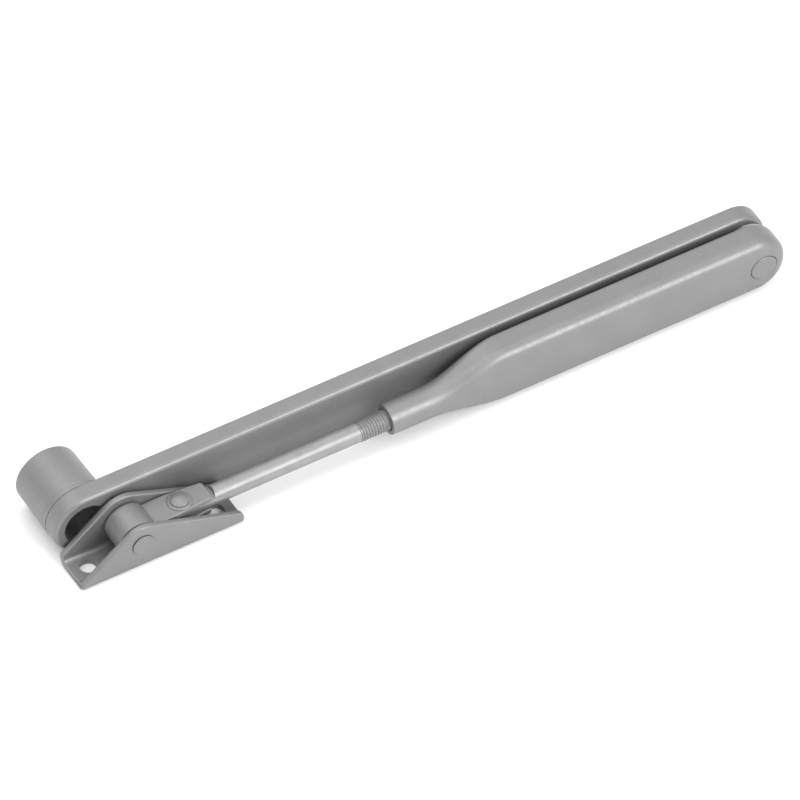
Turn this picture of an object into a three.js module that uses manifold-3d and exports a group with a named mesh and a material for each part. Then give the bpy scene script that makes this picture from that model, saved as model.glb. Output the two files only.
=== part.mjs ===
// Double-lever arm of a surface door closer, folded flat as it is packed.
// Millimetres, +Z up. Design axes: X from the hub axis to the elbow, Y along the hub and
// away from the forearm, Z up. Bar rear face is Y = 0 and the hub axis is X = Z = 0.

import * as THREE from 'three';
import { mergeVertices } from 'three/addons/utils/BufferGeometryUtils.js';
import { ParametricGeometry } from 'three/addons/geometries/ParametricGeometry.js';
import Module from 'manifold-3d';

const wasm = await Module();
wasm.setup();

// Clearances
const runningGap = 0.3;
const pressGap = 0.1;
const faceGap = 0.1;
const cutOver = 2;

// Facets of a full turn
const largeFacets = 48;
const smallFacets = 32;

// Main arm bar
const armCentres = 307.5;
const barThickness = 8;
const barHubHalfWidth = 14.3;
const barElbowHalfWidth = 13.3;
const barEdgeRound = 2;
const endSetback = 2.5;

// Hub and its spindle socket
const hubRadius = 14.4;
const hubEndRadius = 14;
const hubLength = 25.4;
const hubBoreRadius = 9.5;
const hubRimRound = 1.4;
const hubFlangeLength = 2;
const hubGrooveWidth = 0.6;
const hubGrooveDepth = 0.4;
const socketSquare = 11.1;
const socketLength = 13.5;
const socketRecess = 0.6;
const socketLeadIn = 1.2;

// Elbow
const elbowGap = 3.3;
const elbowRivetRadius = 5;
const elbowHeadLip = 0.95;
const elbowHeadProud = 0.25;
const elbowTailLip = 3;
const elbowTailHeight = 2.2;
const elbowTailShape = [[1, 0.27], [0.8, 0.75], [0.45, 1]];
const elbowBushWall = 1.8;
const elbowCoreWall = 1.5;
const elbowCoreLift = 1.4;
const elbowBossLip = 1.4;
const elbowSideRoom = 1.35;
const springWasherRise = 0.35;
const springWasherThickness = 0.5;
const thrustWasherThickness = 0.8;

// Forearm shell, measured from the elbow axis
const forearmLength = 174;
const tubeLength = 18.5;
const taperLength = 36;
const tubeWall = 1.9;
const shellSheet = 1.5;
const shellFrontRound = 5;
const shellBackRound = 2.6;
const slotHalfWidth = 8;
const slotStartGap = 8;

// Adjusting rod
const threadRadius = 4.5;
const shankRadius = 4.2;
const mouthToRivet = 96.3;
const threadOutsideMouth = 13.5;
const threadPastTube = 26;
const rodEndChamfer = 0.8;
const tongueThickness = 4;
const tongueFlatLength = 15.3;
const cutterRadius = 8;

// Swivel link and its rivet
const rivetToPin = 22.2;
const strapThickness = 2.6;
const leafEndWidth = 9.2;
const leafTaperLead = 4.2;
const leafTail = 12.8;
const leafCornerRound = 1.5;
const leafGap = 0.15;
const swivelRivetRadius = 3;
const swivelHeadRadius = 4;
const swivelHeadHeight = 1.6;
const swivelHeadShape = [[1, 0.25], [0.95, 0.5], [0.78, 0.8], [0.48, 0.97]];
const swivelWasherRadius = 5.6;
const swivelWasherThickness = 0.5;

// Shoe and its pivot
const pinRadius = 4;
const pinHeadRadius = 4.85;
const pinHeadHeight = 0.6;
const sleeveWall = 2.1;
const shoeGap = 1.26;
const shoeWidth = 19.1;
const shoeSheet = 2.75;
const shoeBendRound = 2.5;
const shoeInnerRound = 0.6;
const shoeLeftReach = 28.2;
const shoeRightReach = 47.1;
const barrelFloorGap = 1.3;
const barrelEndGap = 0.6;
const frontEar = { margin: 0.6, leftHeight: 2.9, rightHeight: 5.8 };
const rearEar = { margin: 3.2, leftHeight: 6, rightHeight: 6.3 };
const earCornerRound = 3.5;
const screwHoleRadius = 3.7;
const screwHoleInset = 8;

// Radii of the elbow, from the rivet outwards
const bushInner = elbowRivetRadius + pressGap;
const bushOuter = bushInner + elbowBushWall;
const elbowCoreRadius = bushOuter + pressGap + elbowCoreWall;
const elbowBossRadius = elbowCoreRadius + elbowBossLip;
const elbowHeadRadius = elbowRivetRadius + elbowHeadLip;
const elbowTailRadius = elbowRivetRadius + elbowTailLip;
const shellHalfWidth = elbowCoreRadius + elbowSideRoom + endSetback + shellSheet;

// Places along Y
const barFrontY = -barThickness;
const shellBackY = barFrontY - elbowGap;
const shoeRearY = barFrontY - shoeGap;
const shoeFrontY = shoeRearY - shoeWidth;
const rodY = (shoeRearY + shoeFrontY) / 2;
const shellFrontY = rodY - threadRadius - runningGap - shellSheet;
const bushFrontY = shellFrontY + shellSheet + runningGap;
const coreFrontY = shellFrontY + shellSheet + elbowCoreLift;
const slotDeepY = shellBackY - shellSheet - pressGap;

// Places along X
const elbowX = armCentres;
const endCentreX = elbowX - endSetback;
const mouthX = elbowX - forearmLength;
const tubeEndX = mouthX + tubeLength;
const taperEndX = tubeEndX + taperLength;
const rivetX = mouthX - mouthToRivet;
const pinX = rivetX - rivetToPin;
const shoeLeftX = pinX - shoeLeftReach;
const shoeRightX = pinX + shoeRightReach;

// Radii of the shoe pivot, from the pin outwards
const sleeveBoreRadius = pinRadius + runningGap;
const sleeveRadius = sleeveBoreRadius + sleeveWall;
const barrelBoreRadius = sleeveRadius + pressGap;
const barrelRadius = barrelBoreRadius + strapThickness;
const barrelLength = shoeWidth - 2 * shoeSheet - 2 * barrelEndGap;

// Places along Z: the hub and the shoe lie on one floor
const floorZ = -Math.max(hubRadius, shellHalfWidth);
const shoeBaseTopZ = floorZ + shoeSheet;
const rodZ = shoeBaseTopZ + barrelFloorGap + barrelRadius;
const leafInner = tongueThickness / 2 + leafGap;
const leafOuter = leafInner + strapThickness;

// ---- Shared modelling helpers ----

function toSolid(geometry) {
  geometry.deleteAttribute('normal');
  geometry.deleteAttribute('uv');
  const merged = mergeVertices(geometry, 1e-4);
  const corners = Array.from(merged.index.array);
  const kept = [];
  for (let i = 0; i < corners.length; i += 3) {
    const [a, b, c] = corners.slice(i, i + 3);
    if (a !== b && b !== c && c !== a) kept.push(a, b, c);
  }
  return new wasm.Manifold(new wasm.Mesh({
    numProp: 3,
    vertProperties: new Float32Array(merged.attributes.position.array),
    triVerts: new Uint32Array(kept),
  }));
}

function toGeometry(solid) {
  const mesh = solid.getMesh();
  const geometry = new THREE.BufferGeometry();
  geometry.setAttribute('position', new THREE.BufferAttribute(mesh.vertProperties, 3));
  geometry.setIndex(new THREE.BufferAttribute(mesh.triVerts, 1));
  geometry.computeVertexNormals();
  return geometry;
}

// A body turned about Y through (x, z). Profile points are [radius, y], counter-clockwise.
function turnedY(profile, x, z, facets) {
  const points = profile.map(([radius, y]) => new THREE.Vector2(radius, y));
  return toSolid(new THREE.LatheGeometry(points, facets).translate(x, 0, z));
}

// A body turned about Z through (x, y). Profile points are [radius, z].
function turnedZ(profile, x, y, facets) {
  const points = profile.map(([radius, z]) => new THREE.Vector2(radius, z));
  const geometry = new THREE.LatheGeometry(points, facets);
  return toSolid(geometry.rotateX(Math.PI / 2).translate(x, y, 0));
}

// A body turned about X through (y, z). Profile points are [radius, x].
function turnedX(profile, y, z, facets) {
  const points = profile.map(([radius, x]) => new THREE.Vector2(radius, -x)).reverse();
  const geometry = new THREE.LatheGeometry(points, facets);
  return toSolid(geometry.rotateZ(Math.PI / 2).translate(0, y, z));
}

function ring(inner, outer, low, high) {
  return [[inner, low], [outer, low], [outer, high], [inner, high], [inner, low]];
}

function disc(radius, low, high) {
  return [[0, low], [radius, low], [radius, high], [0, high]];
}

// An outline in X and Z, extruded along Y from lowY to highY.
function plateY(shape, lowY, highY, edgeRound = 0, segments = 12) {
  const geometry = new THREE.ExtrudeGeometry(shape, {
    depth: highY - lowY - 2 * edgeRound,
    bevelEnabled: edgeRound > 0,
    bevelThickness: edgeRound,
    bevelSize: edgeRound,
    bevelOffset: -edgeRound,
    bevelSegments: 3,
    curveSegments: segments,
  });
  return toSolid(geometry.rotateX(Math.PI / 2).translate(0, highY - edgeRound, 0));
}

// An outline in X and Y, extruded along Z from lowZ to highZ.
function plateZ(shape, lowZ, highZ, segments = 12) {
  const geometry = new THREE.ExtrudeGeometry(shape, {
    depth: highZ - lowZ,
    bevelEnabled: false,
    curveSegments: segments,
  });
  return toSolid(geometry.translate(0, 0, lowZ));
}

// Outline round two circles on one line, joined by their common tangents.
function twoCircleOutline(firstX, firstRadius, secondX, secondRadius) {
  const contact = Math.acos((firstRadius - secondRadius) / (secondX - firstX));
  const outline = new THREE.Shape();
  outline.absarc(firstX, 0, firstRadius, contact, 2 * Math.PI - contact);
  outline.absarc(secondX, 0, secondRadius, -contact, contact);
  outline.closePath();
  return outline;
}

// Points of an arc from one angle to another.
function arcPoints(centreX, centreY, radius, fromAngle, toAngle, steps) {
  return Array.from({ length: steps + 1 }, (_, i) => {
    const angle = fromAngle + ((toAngle - fromAngle) * i) / steps;
    return [centreX + radius * Math.cos(angle), centreY + radius * Math.sin(angle)];
  });
}

// Arc that rounds the edge between one direction and the next in a turned profile.
function roundEdge(radius, height, round, fromAngle) {
  const steps = 4;
  return arcPoints(radius, height, round, fromAngle, fromAngle + Math.PI / 2, steps);
}

// ---- Main arm ----

function mainArmBar() {
  const outline = twoCircleOutline(0, barHubHalfWidth, endCentreX, barElbowHalfWidth);
  const blank = plateY(outline, barFrontY, 0, barEdgeRound);
  const hubHole = turnedY(disc(hubBoreRadius, barFrontY - cutOver, cutOver), 0, 0, largeFacets);
  const rivetHole = turnedY(
    disc(elbowRivetRadius + pressGap, barFrontY - cutOver, cutOver),
    elbowX, 0, smallFacets,
  );
  return blank.subtract(hubHole).subtract(rivetHole);
}

function armHub() {
  const grooveEndY = hubFlangeLength + hubGrooveWidth;
  const grooveRadius = hubRadius - hubGrooveDepth;
  const profile = [
    [hubBoreRadius, 0],
    [hubRadius, 0],
    [hubRadius, hubFlangeLength],
    [grooveRadius, hubFlangeLength],
    [grooveRadius, grooveEndY],
    [hubRadius - hubGrooveDepth / 4, grooveEndY],
    ...roundEdge(hubEndRadius - hubRimRound, hubLength - hubRimRound, hubRimRound, 0),
    [hubBoreRadius, hubLength],
    [hubBoreRadius, 0],
  ];
  return turnedY(profile, 0, 0, largeFacets);
}

function spindleSocket() {
  const outerY = hubLength - socketRecess;
  const innerY = outerY - socketLength;
  const bodyRadius = hubBoreRadius - pressGap;
  const body = turnedY(
    [
      [0, innerY],
      [bodyRadius, innerY],
      [bodyRadius, outerY],
      [0, outerY],
    ],
    0, 0, largeFacets,
  );
  const half = socketSquare / 2;
  const square = new THREE.Shape();
  square.moveTo(-half, -half);
  square.lineTo(half, -half);
  square.lineTo(half, half);
  square.lineTo(-half, half);
  square.closePath();
  const broached = plateY(square, innerY - cutOver, outerY + cutOver);
  const screwSeat = turnedY(
    [
      [0, innerY - cutOver],
      [half + socketLeadIn + cutOver, innerY - cutOver],
      [half, innerY + socketLeadIn],
      [0, innerY + socketLeadIn],
    ],
    0, 0, smallFacets,
  );
  return body.subtract(broached).subtract(screwSeat);
}

// ---- Elbow ----

const springWasherFrontY = barFrontY - faceGap - springWasherThickness - springWasherRise;
const thrustBackY = springWasherFrontY - faceGap;
const thrustFrontY = thrustBackY - thrustWasherThickness;
const collarBackY = thrustFrontY - faceGap;

function elbowRivet() {
  const headFrontY = shellFrontY - elbowHeadProud;
  const headBackY = shellFrontY + shellSheet - faceGap;
  const profile = [
    [0, headFrontY],
    [elbowHeadRadius - elbowHeadProud, headFrontY],
    [elbowHeadRadius, headFrontY + elbowHeadProud],
    [elbowHeadRadius, headBackY],
    [elbowRivetRadius, headBackY],
    [elbowRivetRadius, faceGap],
    [elbowTailRadius, faceGap],
    ...elbowTailShape.map(([across, along]) => [elbowTailRadius * across, elbowTailHeight * along]),
    [0, elbowTailHeight],
  ];
  return turnedY(profile, elbowX, 0, smallFacets);
}

function elbowSpringWasher() {
  const back = barFrontY - faceGap;
  const outer = elbowBossRadius - springWasherThickness;
  const inner = elbowRivetRadius + runningGap;
  const profile = [
    [inner, back - springWasherRise - springWasherThickness],
    [outer, back - springWasherThickness],
    [outer, back],
    [inner, back - springWasherRise],
    [inner, back - springWasherRise - springWasherThickness],
  ];
  return turnedY(profile, elbowX, 0, smallFacets);
}

function elbowThrustWasher() {
  const inner = elbowRivetRadius + runningGap;
  return turnedY(ring(inner, elbowBossRadius, thrustFrontY, thrustBackY), elbowX, 0, smallFacets);
}

// A slim core inside the shell and a wide boss that fills the hole in its back.
function elbowCollar() {
  const bore = bushOuter + pressGap;
  const profile = [
    [bore, coreFrontY],
    [elbowCoreRadius, coreFrontY],
    [elbowCoreRadius, slotDeepY],
    [elbowBossRadius, slotDeepY],
    [elbowBossRadius, collarBackY],
    [bore, collarBackY],
    [bore, coreFrontY],
  ];
  return turnedY(profile, elbowX, 0, smallFacets);
}

function elbowBushing() {
  return turnedY(ring(bushInner, bushOuter, bushFrontY, collarBackY), elbowX, 0, smallFacets);
}

// ---- Forearm ----

const outerSkin = {
  tube: threadRadius + runningGap + tubeWall,
  half: shellHalfWidth,
  front: shellFrontY,
  back: shellBackY,
  frontRound: shellFrontRound,
  backRound: shellBackRound,
};

const innerSkin = {
  tube: threadRadius + runningGap,
  half: shellHalfWidth - shellSheet,
  front: shellFrontY + shellSheet,
  back: shellBackY - shellSheet,
  frontRound: shellFrontRound - shellSheet,
  backRound: shellBackRound - shellSheet,
};

function mix(from, to, share) {
  return from + (to - from) * share;
}

// Share of the wide section at station x: 0 in the round tube, 1 past the taper.
function wideShare(x) {
  const t = Math.min(Math.max((x - tubeEndX) / taperLength, 0), 1);
  return t * t * (3 - 2 * t);
}

// One point of a skin's section at station x. Quarter 0 is back top, 1 front top,
// 2 front bottom and 3 back bottom, and share runs through that quarter's round edge.
function skinPoint(skin, x, quarter, share, target) {
  const wide = wideShare(x);
  const isFront = quarter === 1 || quarter === 2;
  const side = quarter < 2 ? 1 : -1;
  const round = mix(skin.tube, isFront ? skin.frontRound : skin.backRound, wide);
  const face = mix(rodY + (isFront ? -skin.tube : skin.tube), isFront ? skin.front : skin.back, wide);
  const half = mix(skin.tube, skin.half, wide);
  const reach = Math.max(x - endCentreX, 0);
  const least = Math.asin(Math.min(Math.max(1 - (half - reach) / round, 0), 1));
  const turn = quarter % 2 === 0 ? share : 1 - share;
  const angle = mix(Math.PI / 2, least, 1 - turn);
  const edge = half - round * (1 - Math.sin(angle));
  const across = Math.sqrt(Math.max(edge * edge - reach * reach, 0));
  const inward = round * (1 - Math.cos(angle));
  target.set(x, face + (isFront ? inward : -inward), mix(rodZ, 0, wide) + side * across);
}

function skinStations(skin, startX) {
  const taperSteps = 10;
  const endSteps = 9;
  const stations = [startX];
  for (let i = 0; i <= taperSteps; i += 1) {
    stations.push(tubeEndX + (taperLength * i) / taperSteps);
  }
  for (let i = 0; i <= endSteps; i += 1) {
    stations.push(endCentreX + skin.half * Math.sin((Math.PI / 2) * (i / endSteps)));
  }
  return stations;
}

function skinSolid(skin, startX) {
  const edgeSteps = 5;
  const stations = skinStations(skin, startX);
  const sectionPoints = 4 * (edgeSteps + 1);
  const place = (u, v, target) => {
    const row = Math.round(v * stations.length);
    const point = Math.round(u * sectionPoints) % sectionPoints;
    const quarter = Math.floor(point / (edgeSteps + 1));
    const share = (point % (edgeSteps + 1)) / edgeSteps;
    if (row === 0) {
      target.set(startX, rodY, rodZ);
      return;
    }
    skinPoint(skin, stations[row - 1], quarter, share, target);
  };
  return toSolid(new ParametricGeometry(place, sectionPoints, stations.length));
}

function forearmShell() {
  const shell = skinSolid(outerSkin, mouthX).subtract(skinSolid(innerSkin, mouthX - cutOver));
  const slot = twoCircleOutline(
    taperEndX + slotStartGap + slotHalfWidth, slotHalfWidth,
    endCentreX, slotHalfWidth - pressGap,
  );
  const collarHole = elbowBossRadius + runningGap;
  return shell
    .subtract(plateY(slot, slotDeepY, shellBackY + cutOver))
    .subtract(turnedY(disc(collarHole, slotDeepY, shellBackY + cutOver), elbowX, 0, smallFacets))
    .subtract(turnedY(
      disc(elbowHeadRadius + runningGap, shellFrontY - cutOver, bushFrontY),
      elbowX, 0, smallFacets,
    ));
}

// ---- Adjusting rod ----

function adjustingRod() {
  const threadStartX = mouthX - threadOutsideMouth;
  const threadEndX = tubeEndX + threadPastTube;
  const tongueEndX = rivetX - shankRadius;
  const shoulderX = rivetX + tongueFlatLength;
  const bar = turnedX(
    [
      [0, tongueEndX],
      [shankRadius, tongueEndX],
      [shankRadius, threadStartX],
      [threadRadius, threadStartX + (threadRadius - shankRadius)],
      [threadRadius, threadEndX - rodEndChamfer],
      [threadRadius - rodEndChamfer, threadEndX],
      [0, threadEndX],
    ],
    rodY, rodZ, smallFacets,
  );
  const milled = new THREE.Shape();
  milled.moveTo(tongueEndX - cutOver, rodY - cutterRadius);
  milled.lineTo(shoulderX - cutterRadius, rodY - cutterRadius);
  milled.absarc(shoulderX - cutterRadius, rodY, cutterRadius, -Math.PI / 2, Math.PI / 2);
  milled.lineTo(tongueEndX - cutOver, rodY + cutterRadius);
  milled.closePath();
  const flat = tongueThickness / 2;
  const above = plateZ(milled, rodZ + flat, rodZ + shankRadius + cutOver);
  const below = plateZ(milled, rodZ - shankRadius - cutOver, rodZ - flat);
  const rounded = twoCircleOutline(
    rivetX, shankRadius,
    threadEndX + cutOver, threadRadius + cutOver,
  );
  const envelope = toSolid(
    new THREE.ExtrudeGeometry(rounded, { depth: 4 * threadRadius, bevelEnabled: false })
      .translate(0, rodY, rodZ - 2 * threadRadius),
  );
  const hole = turnedZ(
    disc(swivelRivetRadius + pressGap, rodZ - shankRadius, rodZ + shankRadius),
    rivetX, rodY, smallFacets,
  );
  return bar.subtract(above).subtract(below).intersect(envelope).subtract(hole);
}

// ---- Swivel link ----

function keyholeOutline(barrel, halfLeaf, endX) {
  const mouth = Math.asin(halfLeaf / barrel);
  const outline = new THREE.Shape();
  outline.absarc(pinX, rodZ, barrel, mouth, 2 * Math.PI - mouth);
  outline.lineTo(endX, rodZ - halfLeaf);
  outline.lineTo(endX, rodZ + halfLeaf);
  outline.closePath();
  return outline;
}

function swivelLink() {
  const barrelRearY = rodY + barrelLength / 2;
  const barrelFrontY = rodY - barrelLength / 2;
  const halfEnd = leafEndWidth / 2;
  const leafEndX = rivetX + leafTail;
  const taperX = rivetX - leafTaperLead;
  const strap = plateY(
    keyholeOutline(barrelRadius, leafOuter, leafEndX + cutOver),
    barrelFrontY, barrelRearY, 0, 20,
  );
  const hollow = plateY(
    keyholeOutline(barrelBoreRadius, leafInner, leafEndX + 2 * cutOver),
    barrelFrontY - cutOver, barrelRearY + cutOver, 0, 20,
  );
  const plan = new THREE.Shape();
  plan.moveTo(pinX - barrelRadius - cutOver, barrelFrontY);
  plan.lineTo(taperX, barrelFrontY);
  plan.lineTo(leafEndX - leafCornerRound, rodY - halfEnd);
  plan.quadraticCurveTo(
    leafEndX, rodY - halfEnd, leafEndX, rodY - halfEnd + leafCornerRound,
  );
  plan.lineTo(leafEndX, rodY + halfEnd - leafCornerRound);
  plan.quadraticCurveTo(
    leafEndX, rodY + halfEnd, leafEndX - leafCornerRound, rodY + halfEnd,
  );
  plan.lineTo(taperX, barrelRearY);
  plan.lineTo(pinX - barrelRadius - cutOver, barrelRearY);
  plan.closePath();
  const depth = barrelRadius + cutOver;
  const hole = turnedZ(
    disc(swivelRivetRadius + pressGap, rodZ - depth, rodZ + depth),
    rivetX, rodY, smallFacets,
  );
  return strap
    .subtract(hollow)
    .intersect(plateZ(plan, rodZ - depth, rodZ + depth))
    .subtract(hole);
}

const washerInner = swivelRivetRadius + pressGap;
const washerStart = leafOuter + pressGap;
const headStart = washerStart + swivelWasherThickness + pressGap;

function swivelRivet() {
  const dome = swivelHeadShape.map(([across, along]) => [
    swivelHeadRadius * across, headStart + swivelHeadHeight * along,
  ]);
  const upper = [
    [swivelRivetRadius, headStart],
    [swivelHeadRadius, headStart],
    ...dome,
    [0, headStart + swivelHeadHeight],
  ];
  const lower = upper.map(([radius, height]) => [radius, -height]).reverse();
  const profile = [...lower, ...upper].map(([radius, height]) => [radius, rodZ + height]);
  return turnedZ(profile, rivetX, rodY, smallFacets);
}

function swivelWasher(side) {
  const near = rodZ + side * washerStart;
  const far = near + side * swivelWasherThickness;
  return turnedZ(
    ring(washerInner, swivelWasherRadius, Math.min(near, far), Math.max(near, far)),
    rivetX, rodY, smallFacets,
  );
}

function pivotSleeve() {
  return turnedY(
    ring(sleeveBoreRadius, sleeveRadius, rodY - barrelLength / 2, rodY + barrelLength / 2),
    pinX, rodZ, smallFacets,
  );
}

// ---- Shoe ----

// Where a tangent from a point touches the ear's round top.
function tangentAngle(pointX, pointZ, radius, side) {
  const towards = Math.atan2(pointZ - rodZ, pointX - pinX);
  const spread = Math.acos(radius / Math.hypot(pointX - pinX, pointZ - rodZ));
  return towards + side * spread;
}

function earOutline(ear) {
  const earRadius = barrelRadius + ear.margin;
  const leftTopZ = floorZ + ear.leftHeight;
  const rightTopZ = floorZ + ear.rightHeight;
  const rightTouch = tangentAngle(shoeRightX, rightTopZ, earRadius, 1);
  const leftTouch = tangentAngle(shoeLeftX, leftTopZ, earRadius, -1);
  const touchX = pinX + earRadius * Math.cos(rightTouch);
  const touchZ = rodZ + earRadius * Math.sin(rightTouch);
  const slopeLength = Math.hypot(shoeRightX - touchX, rightTopZ - touchZ);
  const cutBack = earCornerRound / slopeLength;
  const outline = new THREE.Shape();
  outline.moveTo(shoeLeftX, floorZ);
  outline.lineTo(shoeRightX, floorZ);
  outline.lineTo(shoeRightX, rightTopZ - earCornerRound);
  outline.quadraticCurveTo(
    shoeRightX, rightTopZ,
    mix(shoeRightX, touchX, cutBack), mix(rightTopZ, touchZ, cutBack),
  );
  outline.absarc(pinX, rodZ, earRadius, rightTouch, leftTouch + 2 * Math.PI);
  outline.lineTo(shoeLeftX, leftTopZ);
  outline.closePath();
  return outline;
}

// The bent channel, as an outline in Y and Z run along X.
function channelSolid() {
  const topZ = rodZ + barrelRadius + Math.max(frontEar.margin, rearEar.margin) + cutOver;
  const innerRearY = shoeRearY - shoeSheet;
  const innerFrontY = shoeFrontY + shoeSheet;
  const section = new THREE.Shape();
  section.moveTo(shoeFrontY, topZ);
  section.lineTo(shoeFrontY, floorZ + shoeBendRound);
  section.absarc(
    shoeFrontY + shoeBendRound, floorZ + shoeBendRound,
    shoeBendRound, Math.PI, 1.5 * Math.PI,
  );
  section.absarc(
    shoeRearY - shoeBendRound, floorZ + shoeBendRound,
    shoeBendRound, 1.5 * Math.PI, 2 * Math.PI,
  );
  section.lineTo(shoeRearY, topZ);
  section.lineTo(innerRearY, topZ);
  section.lineTo(innerRearY, shoeBaseTopZ + shoeInnerRound);
  section.lineTo(innerRearY - shoeInnerRound, shoeBaseTopZ);
  section.lineTo(innerFrontY + shoeInnerRound, shoeBaseTopZ);
  section.lineTo(innerFrontY, shoeBaseTopZ + shoeInnerRound);
  section.lineTo(innerFrontY, topZ);
  section.closePath();
  const length = shoeRightX - shoeLeftX + 2 * cutOver;
  const geometry = new THREE.ExtrudeGeometry(section, {
    depth: length,
    bevelEnabled: false,
    curveSegments: 5,
  });
  const turned = new THREE.Matrix4().makeBasis(
    new THREE.Vector3(0, 1, 0), new THREE.Vector3(0, 0, 1), new THREE.Vector3(1, 0, 0),
  );
  return toSolid(geometry.applyMatrix4(turned).translate(shoeLeftX - cutOver, 0, 0));
}

function shoeBracket() {
  const frontHalf = plateY(earOutline(frontEar), shoeFrontY - cutOver, rodY);
  const rearHalf = plateY(earOutline(rearEar), rodY, shoeRearY + cutOver);
  let bracket = channelSolid().intersect(frontHalf.add(rearHalf));
  bracket = bracket.subtract(turnedY(
    disc(pinRadius + pressGap, shoeFrontY - cutOver, shoeRearY + cutOver),
    pinX, rodZ, smallFacets,
  ));
  for (const holeX of [shoeLeftX + screwHoleInset, shoeRightX - screwHoleInset]) {
    bracket = bracket.subtract(turnedZ(
      disc(screwHoleRadius, floorZ - cutOver, shoeBaseTopZ + cutOver),
      holeX, rodY, smallFacets,
    ));
  }
  return bracket;
}

function shoePin() {
  const edge = pinHeadHeight / 2;
  const frontY = shoeFrontY - faceGap;
  const rearY = shoeRearY + faceGap;
  const tipFrontY = shoeFrontY - pinHeadHeight;
  const tipRearY = shoeRearY + pinHeadHeight;
  const profile = [
    [0, tipFrontY],
    [pinHeadRadius - edge, tipFrontY],
    [pinHeadRadius, tipFrontY + edge],
    [pinHeadRadius, frontY],
    [pinRadius, frontY],
    [pinRadius, rearY],
    [pinHeadRadius, rearY],
    [pinHeadRadius, tipRearY - edge],
    [pinHeadRadius - edge, tipRearY],
    [0, tipRearY],
  ];
  return turnedY(profile, pinX, rodZ, smallFacets);
}

// ---- Assembly ----

const finishes = {
  silverPaint: { color: 0xa4a5a6, roughness: 0.42, metalness: 0.35 },
  plainSteel: { color: 0x8f9193, roughness: 0.35, metalness: 0.9 },
  threadSteel: { color: 0x84868a, roughness: 0.4, metalness: 0.8 },
  bronze: { color: 0x9a7a4a, roughness: 0.5, metalness: 0.9 },
  nylon: { color: 0xd8d6cc, roughness: 0.6, metalness: 0 },
};

const pieces = [
  ['main_arm_bar', mainArmBar(), 'silverPaint'],
  ['arm_hub', armHub(), 'silverPaint'],
  ['spindle_socket', spindleSocket(), 'plainSteel'],
  ['elbow_rivet', elbowRivet(), 'silverPaint'],
  ['elbow_spring_washer', elbowSpringWasher(), 'plainSteel'],
  ['elbow_thrust_washer', elbowThrustWasher(), 'nylon'],
  ['elbow_collar', elbowCollar(), 'silverPaint'],
  ['elbow_bushing', elbowBushing(), 'bronze'],
  ['forearm_shell', forearmShell(), 'silverPaint'],
  ['adjusting_rod', adjustingRod(), 'threadSteel'],
  ['swivel_link', swivelLink(), 'silverPaint'],
  ['swivel_rivet', swivelRivet(), 'silverPaint'],
  ['swivel_washer_upper', swivelWasher(1), 'silverPaint'],
  ['swivel_washer_lower', swivelWasher(-1), 'silverPaint'],
  ['pivot_sleeve', pivotSleeve(), 'bronze'],
  ['shoe_bracket', shoeBracket(), 'silverPaint'],
  ['shoe_pin', shoePin(), 'silverPaint'],
];

// The origin is the bottom centre of the folded arm's box.
const lowX = Math.min(-hubRadius, shoeLeftX);
const highX = endCentreX + Math.max(barElbowHalfWidth, shellHalfWidth);
const lowY = shoeFrontY - pinHeadHeight;
const highY = hubLength;

const doorCloserArm = new THREE.Group();
doorCloserArm.position.set(-(lowX + highX) / 2, -(lowY + highY) / 2, -floorZ);

for (const [name, solid, finish] of pieces) {
  const mesh = new THREE.Mesh(toGeometry(solid), new THREE.MeshStandardMaterial(finishes[finish]));
  mesh.name = name;
  doorCloserArm.add(mesh);
}

export default doorCloserArm;
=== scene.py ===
import math

import bmesh
import bpy
from mathutils import Matrix, Quaternion, Vector


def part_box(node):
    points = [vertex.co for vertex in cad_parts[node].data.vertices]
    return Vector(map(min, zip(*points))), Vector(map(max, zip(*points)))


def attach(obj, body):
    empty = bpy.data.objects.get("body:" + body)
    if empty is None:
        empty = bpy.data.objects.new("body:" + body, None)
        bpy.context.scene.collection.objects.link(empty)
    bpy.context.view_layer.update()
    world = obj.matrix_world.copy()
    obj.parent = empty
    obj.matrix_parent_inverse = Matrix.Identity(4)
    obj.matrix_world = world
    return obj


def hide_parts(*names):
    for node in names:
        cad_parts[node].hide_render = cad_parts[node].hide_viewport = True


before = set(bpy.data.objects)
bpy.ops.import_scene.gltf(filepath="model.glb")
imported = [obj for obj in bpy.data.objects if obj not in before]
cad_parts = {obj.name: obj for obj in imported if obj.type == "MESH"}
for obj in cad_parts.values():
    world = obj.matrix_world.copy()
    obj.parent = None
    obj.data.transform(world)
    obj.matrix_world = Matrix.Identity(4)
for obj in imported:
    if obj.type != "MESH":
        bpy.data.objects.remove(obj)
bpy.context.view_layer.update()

# A folding double-lever arm of a surface door closer. Pieces are shaped in millimetres in the
# arm's own axes: X from the hub axis to the elbow, Y along the hub, with 0 on the bar's rear
# face, and Z up with 0 on the hub axis. finish_piece() puts them in the frame, in metres.

MM = 0.001


def hub_origin():
    """The point of the frame where the hub axis meets the bar's rear face."""
    hub_low, hub_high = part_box("arm_hub")
    bar_low, bar_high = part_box("main_arm_bar")
    return Vector(((hub_low.x + hub_high.x) / 2, bar_high.y, (hub_low.z + hub_high.z) / 2))


ORIGIN = hub_origin()


def span(node):
    """Lowest and highest corner of a CAD node, in millimetres and the arm's own axes."""
    low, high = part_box(node)
    return (low - ORIGIN) / MM, (high - ORIGIN) / MM


def middle(node):
    low, high = span(node)
    return (low + high) / 2


# ---- Places and sizes that the frame gives ----

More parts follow.
